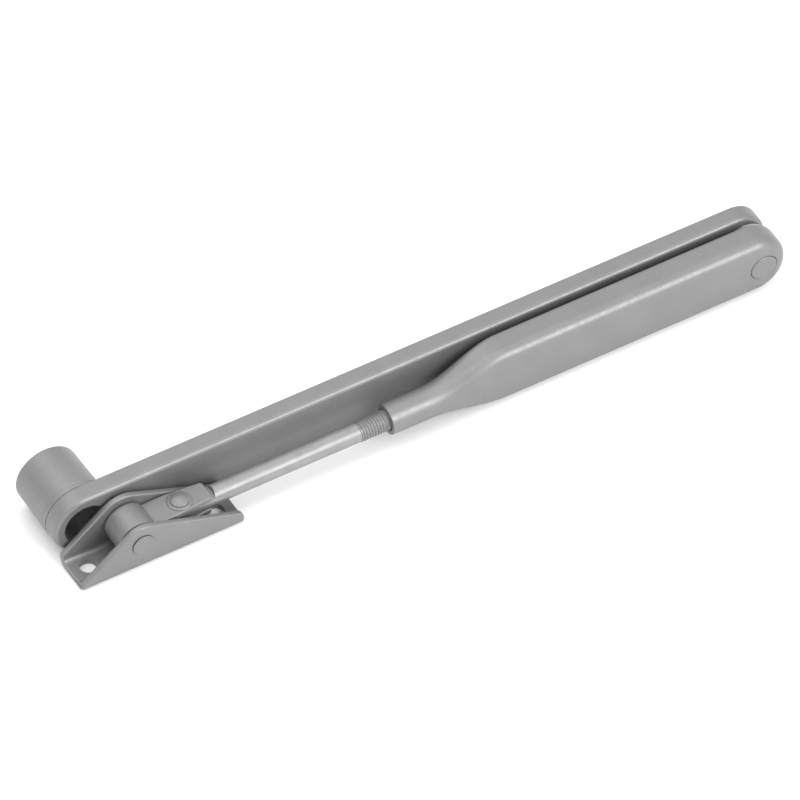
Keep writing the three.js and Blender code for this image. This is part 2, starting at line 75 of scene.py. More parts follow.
bar_low, bar_high = span("main_arm_bar")
hub_low, hub_high = span("arm_hub")
socket_low, socket_high = span("spindle_socket")
shell_low, shell_high = span("forearm_shell")
rod_low, rod_high = span("adjusting_rod")
link_low, link_high = span("swivel_link")
rivet_low, rivet_high = span("swivel_rivet")
upper_washer_low, upper_washer_high = span("swivel_washer_upper")
lower_washer_low, lower_washer_high = span("swivel_washer_lower")
sleeve_low, sleeve_high = span("pivot_sleeve")
shoe_low, shoe_high = span("shoe_bracket")
pin_low, pin_high = span("shoe_pin")
elbow_low, elbow_high = span("elbow_rivet")
collar_low, collar_high = span("elbow_collar")
bush_low, bush_high = span("elbow_bushing")
thrust_low, thrust_high = span("elbow_thrust_washer")
spring_low, spring_high = span("elbow_spring_washer")

hub_axis = Vector((0, 0, 0))
elbow_axis = middle("elbow_rivet")
pin_axis = middle("shoe_pin")
rivet_axis = middle("swivel_rivet")
rod_axis = middle("adjusting_rod")

hub_radius = hub_high.x
thread_radius = (rod_high.y - rod_low.y) / 2
barrel_radius = pin_axis.x - link_low.x
leaf_end_x = link_high.x
shell_half = (shell_high.z - shell_low.z) / 2
mouth_x = shell_low.x
end_centre_x = shell_high.x - shell_half

# ---- Sizes that the frame doesn't give ----

bar_elbow_half = 13.3
bar_edge = 2.1
bar_rear_edge = 0.3
hub_end_radius = 14.0
hub_bore_radius = 9.5
hub_rim = 1.4
hub_flange = 2.0
hub_groove = 0.6
groove_depth = 0.16
socket_square = 11.1
socket_lead_in = 1.2

shank_radius = 4.2
thread_root = 3.9
thread_pitch = 1.27
thread_outside = 13.5
tongue_thickness = 4.0
tongue_flat = 15.3
cutter_radius = 8.0

tube_radius = 6.7
tube_bore = 4.8
tube_length = 18.5
taper_length = 36.0
sheet = 1.5
front_round = 5.0
back_round = 2.6
slot_half = 8.0
slot_gap = 8.0
tube_back_y = rod_axis.y + tube_radius
shell_back_y = shell_high.y
shell_front_y = -25.11

strap = 2.6
leaf_outer = tongue_thickness / 2 + 0.15 + strap
leaf_end_width = 9.2
leaf_taper_lead = 4.2
leaf_corner = 1.5
crease_round = 1.2
swivel_shank = 3.0
fit_gap = 0.1

shoe_sheet = 2.75
front_bend = 2.5
front_inner_bend = 1.2
rear_bend = 5.0
rear_inner_bend = 2.25
front_ear = {"margin": 0.6, "left": 2.9, "right": 5.8}
rear_ear = {"margin": 3.2, "left": 6.0, "right": 6.3}
ear_corner = 4.0
screw_hole = 3.7
screw_inset = 8.0
pin_radius = 4.0
countersink = 0.6
countersink_slope = 2.0

OVER = 2.0
ROUND_STEPS = 6
TURN_STEPS = 96


# ---- Outlines ----

def arc(centre, radius, start, end, steps):
    """Points of an arc, with its angles in radians and both of its ends."""
    points = []
    for step in range(steps + 1):
        angle = start + (end - start) * step / steps
        points.append((centre[0] + radius * math.cos(angle), centre[1] + radius * math.sin(angle)))
    return points


def rounded(corners, is_closed=True):
    """An outline from corners (a, b, round), with an arc of that round in each corner."""
    points = []
    count = len(corners)
    for number, (a, b, corner_round) in enumerate(corners):
        is_end = not is_closed and number in (0, count - 1)
        if corner_round == 0 or is_end:
            points.append((a, b))
            continue
        here = Vector((a, b))
        before = (Vector(corners[number - 1][:2]) - here).normalized()
        after = (Vector(corners[(number + 1) % count][:2]) - here).normalized()
        half_angle = before.angle(after) / 2
        reach = corner_round / math.tan(half_angle)
        centre = here + (before + after).normalized() * corner_round / math.sin(half_angle)
        start = here + before * reach - centre
        swing = start.angle_signed(here + after * reach - centre)
        first = math.atan2(start.y, start.x)
        points += arc(centre, corner_round, first, first - swing, ROUND_STEPS)
    return points


def tangent_outline(first_x, first_radius, second_x, second_radius, z=0.0, steps=48):
    """Outline round two circles, joined by their common tangents."""
    contact = math.acos((first_radius - second_radius) / (second_x - first_x))
    left = arc((first_x, z), first_radius, contact, 2 * math.pi - contact, steps)
    return left + arc((second_x, z), second_radius, -contact, contact, steps)


# ---- Solids ----

AXES = {"X": Vector((1, 0, 0)), "Y": Vector((0, 1, 0)), "Z": Vector((0, 0, 1))}


def clean(shape):
    bmesh.ops.remove_doubles(shape, verts=shape.verts[:], dist=1e-4)
    bmesh.ops.dissolve_degenerate(shape, edges=shape.edges[:], dist=1e-5)
    bmesh.ops.recalc_face_normals(shape, faces=shape.faces[:])
    return shape


def turned(profile, centre, axis, is_ring=False, steps=TURN_STEPS):
    """A body turned about an axis. The profile holds (radius, height along the axis)."""
    along = AXES[axis]
    outward = AXES["Z" if axis == "X" else "X"]
    foot = centre - along * centre.dot(along)
    shape = bmesh.new()
    verts = [shape.verts.new(foot + outward * radius + along * height) for radius, height in profile]
    pairs = list(zip(verts, verts[1:]))
    if is_ring:
        pairs.append((verts[-1], verts[0]))
    edges = [shape.edges.new(pair) for pair in pairs]
    bmesh.ops.spin(
        shape, geom=verts + edges, cent=foot, axis=along, angle=2 * math.pi, steps=steps,
        use_merge=True,
    )
    return clean(shape)


def slab(outline, axis, low, high):
    """An outline pushed along an axis. It holds (x, z) for Y, (x, y) for Z and (y, z) for X."""
    place = {
        "X": lambda a, b: (low, a, b),
        "Y": lambda a, b: (a, low, b),
        "Z": lambda a, b: (a, b, low),
    }[axis]
    shape = bmesh.new()
    face = shape.faces.new([shape.verts.new(place(a, b)) for a, b in outline])
    grown = bmesh.ops.extrude_face_region(shape, geom=[face])["geom"]
    moved = [item for item in grown if isinstance(item, bmesh.types.BMVert)]
    bmesh.ops.translate(shape, verts=moved, vec=AXES[axis] * (high - low))
    return clean(shape)


def temporary(shape):
    mesh = bpy.data.meshes.new("temporary")
    shape.to_mesh(mesh)
    shape.free()
    piece = bpy.data.objects.new("temporary", mesh)
    bpy.context.scene.collection.objects.link(piece)
    return piece


def carve(base, *tools, operation="DIFFERENCE"):
    """Cuts the base with each tool, or keeps what they share."""
    body = temporary(base)
    cutters = [temporary(tool) for tool in tools]
    for cutter in cutters:
        modifier = body.modifiers.new("carve", "BOOLEAN")
        modifier.operation = operation
        modifier.solver = "EXACT"
        modifier.object = cutter
    graph = bpy.context.evaluated_depsgraph_get()
    graph.update()
    shape = bmesh.new()
    shape.from_object(body, graph)
    for piece in [body, *cutters]:
        bpy.data.meshes.remove(piece.data)
    return clean(shape)


def crisp_edges(shape, least_angle):
    return [
        edge for edge in shape.edges
        if len(edge.link_faces) == 2 and edge.calc_face_angle(0) > math.radians(least_angle)
    ]


def join_slivers(shape, least_length=0.05, flat_angle=0.1):
    """Merges the very short edges that cuts leave, and joins faces that lie flat together."""
    bmesh.ops.remove_doubles(shape, verts=shape.verts[:], dist=least_length)
    bmesh.ops.dissolve_limit(
        shape, angle_limit=math.radians(flat_angle), verts=shape.verts[:], edges=shape.edges[:],
    )
    return clean(shape)


def ease(shape, width, segments=2, least_angle=35, where=None):
    """Rounds the crisp edges, as paint and tumbling leave them."""
    join_slivers(shape)
    edges = [edge for edge in crisp_edges(shape, least_angle) if where is None or where(edge)]
    bmesh.ops.bevel(
        shape, geom=edges, offset=width, offset_type="OFFSET", segments=segments, profile=0.5,
        affect="EDGES", clamp_overlap=False, material=-1,
    )
    return clean(shape)


def finish_piece(node, shape, body, material, name=None, sharp_angle=32):
    """Makes the object that stands for a CAD node, in the frame, tied to its body and given its material.
    """
    name = name or node + "_finished"
    clean(shape)
    for face in shape.faces:
        face.smooth = True
    for edge in crisp_edges(shape, sharp_angle):
        edge.smooth = False
    shape.transform(Matrix.Translation(ORIGIN) @ Matrix.Scale(MM, 4))
    mesh = bpy.data.meshes.new(name)
    shape.to_mesh(mesh)
    shape.free()
    mesh.materials.append(material)
    piece = bpy.data.objects.new(name, mesh)
    bpy.context.scene.collection.objects.link(piece)
    weighted = piece.modifiers.new("even_shading", "WEIGHTED_NORMAL")
    weighted.keep_sharp = True
    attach(piece, body)
    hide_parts(node)
    return piece


# ---- Materials ----

class Surface:
    """A node material with one Principled shader, whose patterns read Object coordinates."""

    def __init__(self, name, metallic, roughness):
        self.material = bpy.data.materials.new(name)
        self.material.use_nodes = True
        self.nodes = self.material.node_tree.nodes
        self.links = self.material.node_tree.links
        self.shader = self.nodes["Principled BSDF"]
        self.shader.inputs["Metallic"].default_value = metallic
        self.shader.inputs["Roughness"].default_value = roughness
        self.coordinates = self.nodes.new("ShaderNodeTexCoord").outputs["Object"]

    def noise(self, feature_mm, detail=2.0, stretch=(1, 1, 1)):
        """Noise whose blobs are about feature_mm wide, divided by stretch along each axis."""
        mapping = self.nodes.new("ShaderNodeMapping")
        mapping.inputs["Scale"].default_value = [share / (feature_mm * MM) for share in stretch]
        self.links.new(self.coordinates, mapping.inputs["Vector"])
        texture = self.nodes.new("ShaderNodeTexNoise")
        texture.inputs["Scale"].default_value = 1.0
        texture.inputs["Detail"].default_value = detail
        self.links.new(mapping.outputs["Vector"], texture.inputs["Vector"])
        return texture.outputs["Fac"]

    def ramp(self, value, low, high, low_at=0.3, high_at=0.7):
        """A grey or coloured band between two colours."""
        node = self.nodes.new("ShaderNodeValToRGB")
        node.color_ramp.elements[0].position = low_at
        node.color_ramp.elements[1].position = high_at
        node.color_ramp.elements[0].color = (*low, 1)
        node.color_ramp.elements[1].color = (*high, 1)
        self.links.new(value, node.inputs["Fac"])
        return node.outputs["Color"]

    def blend(self, mode, share, first, second):
        node = self.nodes.new("ShaderNodeMix")
        node.data_type = "RGBA"
        node.blend_type = mode
        node.inputs["Factor"].default_value = share
        self.links.new(first, node.inputs[6])
        self.links.new(second, node.inputs[7])
        return node.outputs[2]

    def span(self, value, low, high):
        node = self.nodes.new("ShaderNodeMapRange")
        node.inputs["From Min"].default_value = 0.3
        node.inputs["From Max"].default_value = 0.7
        node.inputs["To Min"].default_value = low
        node.inputs["To Max"].default_value = high
        self.links.new(value, node.inputs["Value"])
        return node.outputs["Result"]

    def bump(self, height, strength, depth_mm, under=None):
        node = self.nodes.new("ShaderNodeBump")
        node.inputs["Strength"].default_value = strength
        node.inputs["Distance"].default_value = depth_mm * MM
        self.links.new(height, node.inputs["Height"])
        if under is not None:
            self.links.new(under, node.inputs["Normal"])
        return node.outputs["Normal"]

    def finish(self, colour=None, roughness=None, normal=None):
        for output, socket in ((colour, "Base Color"), (roughness, "Roughness"), (normal, "Normal")):
            if output is not None:
                self.links.new(output, self.shader.inputs[socket])
        return self.material


def grey(value, tint=1.0):
    return (value, value, value * tint)


def silver_paint():
    """Sprayed aluminium paint: fine flake, a little orange peel and an uneven coat."""
    surface = Surface("sprayed_silver_paint", metallic=0.45, roughness=0.44)
    flake = surface.ramp(surface.noise(0.22, 1), grey(0.178), grey(0.236))
    coat = surface.ramp(surface.noise(14, 3), grey(0.92), grey(1.0))
    colour = surface.blend("MULTIPLY", 1.0, flake, coat)
    roughness = surface.span(surface.noise(1.6, 4), 0.38, 0.48)
    peel = surface.bump(surface.noise(0.9, 2), 0.18, 0.03)
    grain = surface.bump(surface.noise(0.16, 1), 0.12, 0.012, under=peel)
    return surface.finish(colour, roughness, grain)


def turned_steel():
    """Smooth drawn rod with faint marks round it and along it."""
    surface = Surface("drawn_rod_steel", metallic=0.55, roughness=0.42)
    marks = surface.noise(0.12, 3, stretch=(1, 0.04, 0.04))
    colour = surface.ramp(surface.noise(5, 4), grey(0.235), grey(0.28))
    roughness = surface.span(surface.noise(0.8, 4, stretch=(0.1, 1, 1)), 0.4, 0.5)
    return surface.finish(colour, roughness, surface.bump(marks, 0.12, 0.01))


def thread_steel():
    """Rolled thread: darker, duller steel with a trace of grease."""
    surface = Surface("rolled_thread_steel", metallic=0.4, roughness=0.55)
    colour = surface.ramp(surface.noise(1.2, 4), grey(0.21), grey(0.28))
    roughness = surface.span(surface.noise(0.5, 3), 0.5, 0.62)
    return surface.finish(colour, roughness, surface.bump(surface.noise(0.2, 2), 0.15, 0.01))


def machined_steel():
    """Broached and faced steel, with fine lathe marks."""
    surface = Surface("machined_steel", metallic=0.9, roughness=0.35)
    colour = surface.ramp(surface.noise(2.5, 5), grey(0.26, 1.02), grey(0.36, 1.02))
    roughness = surface.span(surface.noise(0.6, 3), 0.3, 0.46)
    return surface.finish(colour, roughness, surface.bump(surface.noise(0.12, 2), 0.14, 0.01))


def oiled_bronze():
    """Sintered bronze with open pores and oil in them."""
    surface = Surface("sintered_bronze", metallic=0.85, roughness=0.45)
    colour = surface.ramp(surface.noise(0.5, 5), (0.24, 0.14, 0.06), (0.5, 0.33, 0.16))
    roughness = surface.span(surface.noise(0.4, 3), 0.36, 0.58)
    return surface.finish(colour, roughness, surface.bump(surface.noise(0.18, 3), 0.3, 0.02))


def grey_nylon():
    """Grey moulded nylon."""
    surface = Surface("grey_nylon", metallic=0.0, roughness=0.5)
    surface.shader.inputs["Subsurface Weight"].default_value = 0.15
    surface.shader.inputs["Subsurface Radius"].default_value = (0.001, 0.001, 0.0008)
    colour = surface.ramp(surface.noise(1.5, 3), (0.3, 0.3, 0.29), (0.38, 0.38, 0.365))
    roughness = surface.span(surface.noise(0.5, 2), 0.42, 0.56)
    return surface.finish(colour, roughness, surface.bump(surface.noise(0.3, 2), 0.1, 0.01))


PAINT = silver_paint()
ROD_STEEL = turned_steel()
THREAD_STEEL = thread_steel()
STEEL = machined_steel()
BRONZE = oiled_bronze()
NYLON = grey_nylon()


# ---- Main arm ----

def bored(centre, axis, radius, low, high, steps=TURN_STEPS):
    """A plain cylinder, used as a drill."""
    return turned([(0, low), (radius, low), (radius, high), (0, high)], centre, axis, steps=steps)


def main_arm_bar():
    outline = tangent_outline(0, -bar_low.x, end_centre_x, bar_elbow_half, steps=64)
    blank = slab(outline, "Y", bar_low.y, bar_high.y)
    front_y, rear_y = bar_low.y + 0.01, bar_high.y - 0.01
    ease(blank, bar_edge, 6, 60, where=lambda edge: max(v.co.y for v in edge.verts) < front_y)
    ease(blank, bar_rear_edge, 3, 60, where=lambda edge: min(v.co.y for v in edge.verts) > rear_y)
    rivet_hole = (elbow_high.x - elbow_low.x) / 2 - 3 + fit_gap
    bar = carve(
        blank,
        bored(hub_axis, "Y", hub_bore_radius, bar_low.y - OVER, OVER),
        bored(elbow_axis, "Y", rivet_hole, bar_low.y - OVER, OVER),
    )
    ease(bar, 0.45, segments=3, least_angle=60)
    finish_piece("main_arm_bar", bar, "main_arm", PAINT)


def arm_hub():
    flange_end = hub_flange
    groove_end = hub_flange + hub_groove
    profile = rounded([
        (hub_bore_radius, 0, 0),
        (hub_radius, 0, 0),
        (hub_radius, flange_end, 0.15),
        (hub_radius - groove_depth, flange_end + 0.15, 0.1),
        (hub_radius - groove_depth, groove_end, 0.1),
        (hub_radius - groove_depth / 4, groove_end + 0.15, 0.15),
        (hub_end_radius, hub_high.y, hub_rim),
        (hub_bore_radius, hub_high.y, 0.3),
    ])
    hub = turned(profile, hub_axis, "Y", is_ring=True, steps=128)
    finish_piece("arm_hub", hub, "main_arm", PAINT)


def spindle_socket():
    radius = socket_high.x
    low, high = socket_low.y, socket_high.y
    body = turned(
        rounded([(0, low, 0), (radius, low, 0.3), (radius, high, 0.5), (0, high, 0)], False),
        hub_axis, "Y",
    )
    half = socket_square / 2
    square = rounded([(-half, -half, 0.5), (half, -half, 0.5), (half, half, 0.5), (-half, half, 0.5)])
    lead_in = turned(
        [(0, low - OVER), (half + socket_lead_in + OVER, low - OVER), (half, low + socket_lead_in),
         (0, low + socket_lead_in)],
        hub_axis, "Y",
    )
    socket = carve(body, slab(square, "Y", low - OVER, high + OVER), lead_in)
    ease(socket, 0.3, least_angle=50)
    finish_piece("spindle_socket", socket, "main_arm", STEEL)


# ---- Elbow ----

def elbow_rivet():
    """A rivet with a head flush in the forearm's front and a formed tail behind the bar."""
    tail_radius = (elbow_high.x - elbow_low.x) / 2
    shank = tail_radius - 3
    head = shank + 0.95
    head_back = shell_front_y + sheet - fit_gap
    tail_height = elbow_high.y
    profile = rounded([
        (0, elbow_low.y + 0.12, 0),
        (head - 2.2, elbow_low.y + 0.12, 0.4),
        (head - 1.6, elbow_low.y, 0.4),
        (head, elbow_low.y, 0.5),
        (head, head_back, 0.1),
        (shank, head_back, 0),
        (shank, fit_gap, 0),
        (tail_radius, fit_gap, 0.15),
        (tail_radius, 0.75, 0.35),
        (tail_radius * 0.62, tail_height, 1.6),
        (2.2, tail_height, 0.5),
        (1.4, tail_height - 0.4, 0.5),
        (0, tail_height - 0.4, 0),
    ], False)
    rivet = turned(profile, elbow_axis, "Y")
    finish_piece("elbow_rivet", rivet, "main_arm", PAINT)


def ring_piece(name, low, high, inner, corner, axis, body, material):
    """A plain washer, sleeve or bushing, with eased corners."""
    outer = (high.x - low.x) / 2
    centre = (low + high) / 2
    start, end = (low.y, high.y) if axis == "Y" else (low.z, high.z)
    profile = rounded([
        (inner, start, corner), (outer, start, corner), (outer, end, corner), (inner, end, corner),
    ])
    finish_piece(name, turned(profile, centre, axis, is_ring=True), body, material)


def elbow_spring_washer():
    thickness = 0.5
    inner = 5.3
    outer = (spring_high.x - spring_low.x) / 2
    profile = rounded([
        (inner, spring_low.y, 0.12),
        (outer, spring_high.y - thickness, 0.12),
        (outer, spring_high.y, 0.12),
        (inner, spring_low.y + thickness, 0.12),
    ])
    washer = turned(profile, elbow_axis, "Y", is_ring=True)
    finish_piece("elbow_spring_washer", washer, "main_arm", STEEL)


def elbow_collar():
    """A slim core inside the shell and a wide boss through the hole in its back."""
    bore = (bush_high.x - bush_low.x) / 2 + fit_gap
    core = bore + 1.5
    boss = (collar_high.x - collar_low.x) / 2
    step = shell_back_y - sheet - fit_gap
    profile = rounded([
        (bore, collar_low.y, 0.2),
        (core, collar_low.y, 0.4),
        (core, step, 0),
        (boss, step, 0),
        (boss, collar_high.y, 0.6),
        (bore, collar_high.y, 0.2),
    ])
    collar = turned(profile, elbow_axis, "Y", is_ring=True)
    finish_piece("elbow_collar", collar, "forearm", PAINT)


# ---- Forearm ----

class Skin:
    """One skin of the forearm: a round tube that opens into a wide, edge-rounded arm."""

    def __init__(self, tube, inset):
        self.tube = tube
        self.half = shell_half - inset
        self.face = {True: shell_front_y + inset, False: shell_back_y - inset}
        self.round = {True: front_round - inset, False: back_round - inset}

    def wide_share(self, x):
        share = min(max((x - mouth_x - tube_length) / taper_length, 0.0), 1.0)
        return share * share * (3 - 2 * share)

    def point(self, x, number, edge_steps):
        """Point of the section at station x. The four edge rounds follow one another."""
        quarter, step = divmod(number, edge_steps + 1)
        is_front = quarter in (1, 2)
        side = 1 if quarter < 2 else -1
        turn = step / edge_steps if quarter % 2 == 0 else 1 - step / edge_steps
        wide = self.wide_share(x)

        def mix(narrow, broad):
            return narrow + (broad - narrow) * wide

        edge_round = mix(self.tube, self.round[is_front])
        outward = -1 if is_front else 1
        face = mix(rod_axis.y + outward * self.tube, self.face[is_front])
        half = mix(self.tube, self.half)
        reach = max(x - end_centre_x, 0.0)
        least = math.asin(min(max(1 - (half - reach) / edge_round, 0.0), 1.0))
        angle = math.pi / 2 + (least - math.pi / 2) * (1 - turn)
        edge = half - edge_round * (1 - math.sin(angle))
        across = math.sqrt(max(edge * edge - reach * reach, 0.0))
        inward = edge_round * (1 - math.cos(angle))
        return Vector((x, face - outward * inward, mix(rod_axis.z, 0.0) + side * across))


def skin_solid(skin, start_x, edge_steps=9, taper_steps=30, end_steps=22):
    """Grows a skin section by section along X, from its mouth to its closed end."""
    taper_start = mouth_x + tube_length
    stations = [start_x]
    stations += [taper_start + taper_length * step / taper_steps for step in range(taper_steps + 1)]
    quarter_turn = math.pi / 2
    stations += [
        end_centre_x + skin.half * math.sin(quarter_turn * step / end_steps)
        for step in range(end_steps + 1)
    ]
    shape = bmesh.new()
    order = shape.verts.layers.int.new("order")
    count = 4 * (edge_steps + 1)
    bmesh.ops.create_circle(shape, cap_ends=True, segments=count, radius=1)
    for number, vert in enumerate(shape.verts):
        vert[order] = number
    section = shape.verts[:]
    rim = shape.edges[:]
    for station in stations:
        if station != start_x:
            grown = bmesh.ops.extrude_edge_only(shape, edges=rim)["geom"]
            section = [item for item in grown if isinstance(item, bmesh.types.BMVert)]
            fresh = set(section)
            rim = [
                item for item in grown
                if isinstance(item, bmesh.types.BMEdge) and fresh.issuperset(item.verts)
            ]
        for vert in section:
            vert.co = skin.point(station, vert[order], edge_steps)
    return clean(shape)


def forearm_shell():
    outer = skin_solid(Skin(tube_radius, 0), mouth_x)
    inner = skin_solid(Skin(tube_bore, sheet), mouth_x - OVER)
    slot_start = mouth_x + tube_length + taper_length + slot_gap + slot_half
    slot = tangent_outline(slot_start, slot_half, end_centre_x, slot_half - fit_gap)
    deep = shell_back_y - sheet - fit_gap
    collar_hole = (collar_high.x - collar_low.x) / 2 + 0.3
    head_hole = (elbow_high.x - elbow_low.x) / 2 - 3 + 0.95 + 0.12
    shell = carve(
        outer,
        inner,
        slab(slot, "Y", deep, shell_back_y + OVER),
        bored(elbow_axis, "Y", collar_hole, deep, shell_back_y + OVER),
        bored(elbow_axis, "Y", head_hole, shell_front_y - OVER, shell_front_y + sheet + 0.3),
    )
    ease(shell, 0.3, segments=3, least_angle=50)
    finish_piece("forearm_shell", shell, "forearm", PAINT)


# ---- Adjusting rod ----

def threaded(start_x, end_x):
    """A rolled thread: one pitch's profile swept along a helix, then trimmed square."""
    steps = 40
    flank = 0.3 * thread_pitch
    flat = (thread_pitch - 2 * flank) / 2
    profile = [
        (0, thread_root), (flat * 0.8, thread_root), (flat * 0.8 + flank, thread_radius),
        (flat * 2 * 0.6 + flank, thread_radius), (flat * 2 * 0.6 + 2 * flank, thread_root),
        (thread_pitch, thread_root),
    ]
    turns = math.ceil((end_x - start_x) / thread_pitch) + 2
    first_x = start_x - 1.5 * thread_pitch
    shape = bmesh.new()
    foot = Vector((0, rod_axis.y, rod_axis.z))
    verts = [shape.verts.new(foot + Vector((first_x + x, 0, radius))) for x, radius in profile]
    edges = [shape.edges.new(pair) for pair in zip(verts, verts[1:])]
    bmesh.ops.spin(
        shape, geom=verts + edges, cent=foot, axis=AXES["X"], dvec=AXES["X"] * thread_pitch / steps,
        angle=2 * math.pi * turns, steps=steps * turns, use_merge=False,
    )
    bmesh.ops.remove_doubles(shape, verts=shape.verts[:], dist=1e-3)
    for x, away in ((start_x, -1), (end_x, 1)):
        everything = shape.verts[:] + shape.edges[:] + shape.faces[:]
        bmesh.ops.bisect_plane(
            shape, geom=everything, plane_co=(x, 0, 0), plane_no=(away, 0, 0), clear_outer=True,
        )
        rim = [edge for edge in shape.edges if edge.is_boundary and abs(edge.verts[0].co.x - x) < 1e-3]
        bmesh.ops.contextual_create(shape, geom=rim)
    return clean(shape)


def milled_tongue(blank):
    """Mills both flats with a round cutter, rounds the end and drills it for the rivet."""
    flat = tongue_thickness / 2
    end_x = rivet_axis.x - shank_radius
    centre_x = rivet_axis.x + tongue_flat - cutter_radius
    y = rod_axis.y
    outline = [(end_x - OVER, y - cutter_radius)]
    outline += arc((centre_x, y), cutter_radius, -math.pi / 2, math.pi / 2, 40)
    outline.append((end_x - OVER, y + cutter_radius))
    rounding = [(end_x - OVER, y - OVER - shank_radius)]
    rounding += [(rivet_axis.x, y - OVER - shank_radius), (rivet_axis.x, y - shank_radius)]
    rounding += arc((rivet_axis.x, y), shank_radius, 1.5 * math.pi, math.pi / 2, 32)[1:]
    rounding += [(rivet_axis.x, y + shank_radius + OVER), (end_x - OVER, y + shank_radius + OVER)]
    z = rod_axis.z
    depth = shank_radius + OVER
    return carve(
        blank,
        slab(outline, "Z", z + flat, z + depth),
        slab(outline, "Z", z - depth, z - flat),
        slab(rounding, "Z", z - depth, z + depth),
        bored(rivet_axis, "Z", swivel_shank + fit_gap, z - depth, z + depth, steps=48),
    )


def adjusting_rod():
    thread_start = mouth_x - thread_outside
    thread_end = rod_high.x
    shank = turned(
        [(0, rod_low.x), (shank_radius, rod_low.x), (shank_radius, thread_start),
         (thread_root, thread_start + 0.3), (thread_root, thread_start + 1), (0, thread_start + 1)],
        rod_axis, "X",
    )
    shank = milled_tongue(shank)
    ease(shank, 0.25, least_angle=50, where=lambda edge: edge.verts[0].co.x < thread_start - 5)
    rod = finish_piece("adjusting_rod", shank, "rod", ROD_STEEL)
    thread = finish_piece(
        "adjusting_rod", threaded(thread_start, thread_end), "rod", THREAD_STEEL,
        name="rod_thread", sharp_angle=50,
    )
    return rod, thread


# ---- Swivel link ----

def keyhole(barrel, half_leaf, end_x, crease=0.0):
    """Outline of a barrel with two leaves, in X and Z, with a crease round where they meet."""
    x, z = pin_axis.x, rivet_axis.z
    across = half_leaf + crease
    out = barrel + crease
    meet = math.asin(across / out)
    fillet_x = x + out * math.cos(meet)
    points = arc((x, z), barrel, meet, 2 * math.pi - meet, 72)
    if crease:
        points += arc((fillet_x, z - across), crease, math.pi - meet, math.pi / 2, 10)[1:]
    points += [(end_x, z - half_leaf), (end_x, z + half_leaf)]
    if crease:
        points += arc((fillet_x, z + across), crease, 1.5 * math.pi, math.pi + meet, 10)[:-1]
    return points


def swivel_link():
    y = rod_axis.y
    low, high = link_low.y, link_high.y
    half_end = leaf_end_width / 2
    taper_x = rivet_axis.x - leaf_taper_lead
    left = link_low.x - OVER
    z = rivet_axis.z
    depth = barrel_radius + OVER
    plan = rounded([
        (left, low, 0), (taper_x, low, 6.0),
        (leaf_end_x, y - half_end, leaf_corner), (leaf_end_x, y + half_end, leaf_corner),
        (taper_x, high, 6.0), (left, high, 0),
    ])
    strap_end = leaf_end_x + OVER
    outer = slab(keyhole(barrel_radius, leaf_outer, strap_end, crease_round), "Y", low, high)
    inner = slab(
        keyhole(barrel_radius - strap, leaf_outer - strap, strap_end + OVER), "Y", low - OVER, high + OVER,
    )
    outer = carve(outer, slab(plan, "Z", z - depth, z + depth), operation="INTERSECT")
    link = carve(
        outer, inner,
        bored(rivet_axis, "Z", swivel_shank + fit_gap, z - depth, z + depth, steps=48),
    )
    ease(link, 0.35, segments=3, least_angle=50)
    finish_piece("swivel_link", link, "link", PAINT)


def swivel_rivet():
    """A domed rivet, the same above and below the link's leaves."""
    z = rivet_axis.z
    head = (rivet_high.x - rivet_low.x) / 2
    top = rivet_high.z - z
    seat = upper_washer_high.z - z + fit_gap
    rise = top - seat
    lip = 0.3
    dome_radius = (head * head + (rise - lip) ** 2) / (2 * (rise - lip))
    widest = math.asin(head / dome_radius)
    dome_centre = (0.0, top - dome_radius)
    dome = arc(dome_centre, dome_radius, math.pi / 2 - widest, math.pi / 2, 14)
    upper = [(swivel_shank, seat), (head, seat), *dome]
    lower = [(radius, -height) for radius, height in reversed(upper)]
    profile = [(max(radius, 0.0), z + height) for radius, height in lower + upper]
    rivet = turned(profile, rivet_axis, "Z", steps=64)
    finish_piece("swivel_rivet", rivet, "link", PAINT)


def swivel_washer(name, low, high, side):
    """A washer whose rim slopes away from the rivet's head."""
    inner = swivel_shank + fit_gap
    outer = (high.x - low.x) / 2
    near, far = (low.z, high.z) if side > 0 else (high.z, low.z)
    profile = rounded([
        (inner, near, 0.05), (outer, near, 0.08), (outer - 0.9, far, 0.35), (inner, far, 0.1),
    ])
    washer = turned(profile, rivet_axis, "Z", is_ring=True)
    finish_piece(name, washer, "link", PAINT)


# ---- Shoe ----

def tangent_angle(x, z, radius, side):
    """Angle on the ear's round top where a line from (x, z) touches it."""
    dx, dz = x - pin_axis.x, z - pin_axis.z
    return math.atan2(dz, dx) + side * math.acos(radius / math.hypot(dx, dz))


def ear_outline(ear):
    ear_radius = barrel_radius + ear["margin"]
    floor_z = shoe_low.z
    left_z, right_z = floor_z + ear["left"], floor_z + ear["right"]
    right_touch = tangent_angle(shoe_high.x, right_z, ear_radius, 1)
    left_touch = tangent_angle(shoe_low.x, left_z, ear_radius, -1) + 2 * math.pi
    top = arc((pin_axis.x, pin_axis.z), ear_radius, right_touch, left_touch, 40)
    corners = [
        (shoe_low.x, floor_z, 0), (shoe_high.x, floor_z, 0), (shoe_high.x, right_z, ear_corner),
        (*top[0], 0),
    ]
    return rounded(corners, is_closed=False) + top[1:] + [(shoe_low.x, left_z)]


def channel_section():
    """The bent channel's section, in Y and Z."""
    front, rear, floor_z = shoe_low.y, shoe_high.y, shoe_low.z
    top = shoe_high.z + OVER
    inner_front, inner_rear = front + shoe_sheet, rear - shoe_sheet
    inner_floor = floor_z + shoe_sheet
    return rounded([
        (front, top, 0), (front, floor_z, front_bend), (rear, floor_z, rear_bend), (rear, top, 0),
        (inner_rear, top, 0), (inner_rear, inner_floor, rear_inner_bend),
        (inner_front, inner_floor, front_inner_bend), (inner_front, top, 0),
    ])


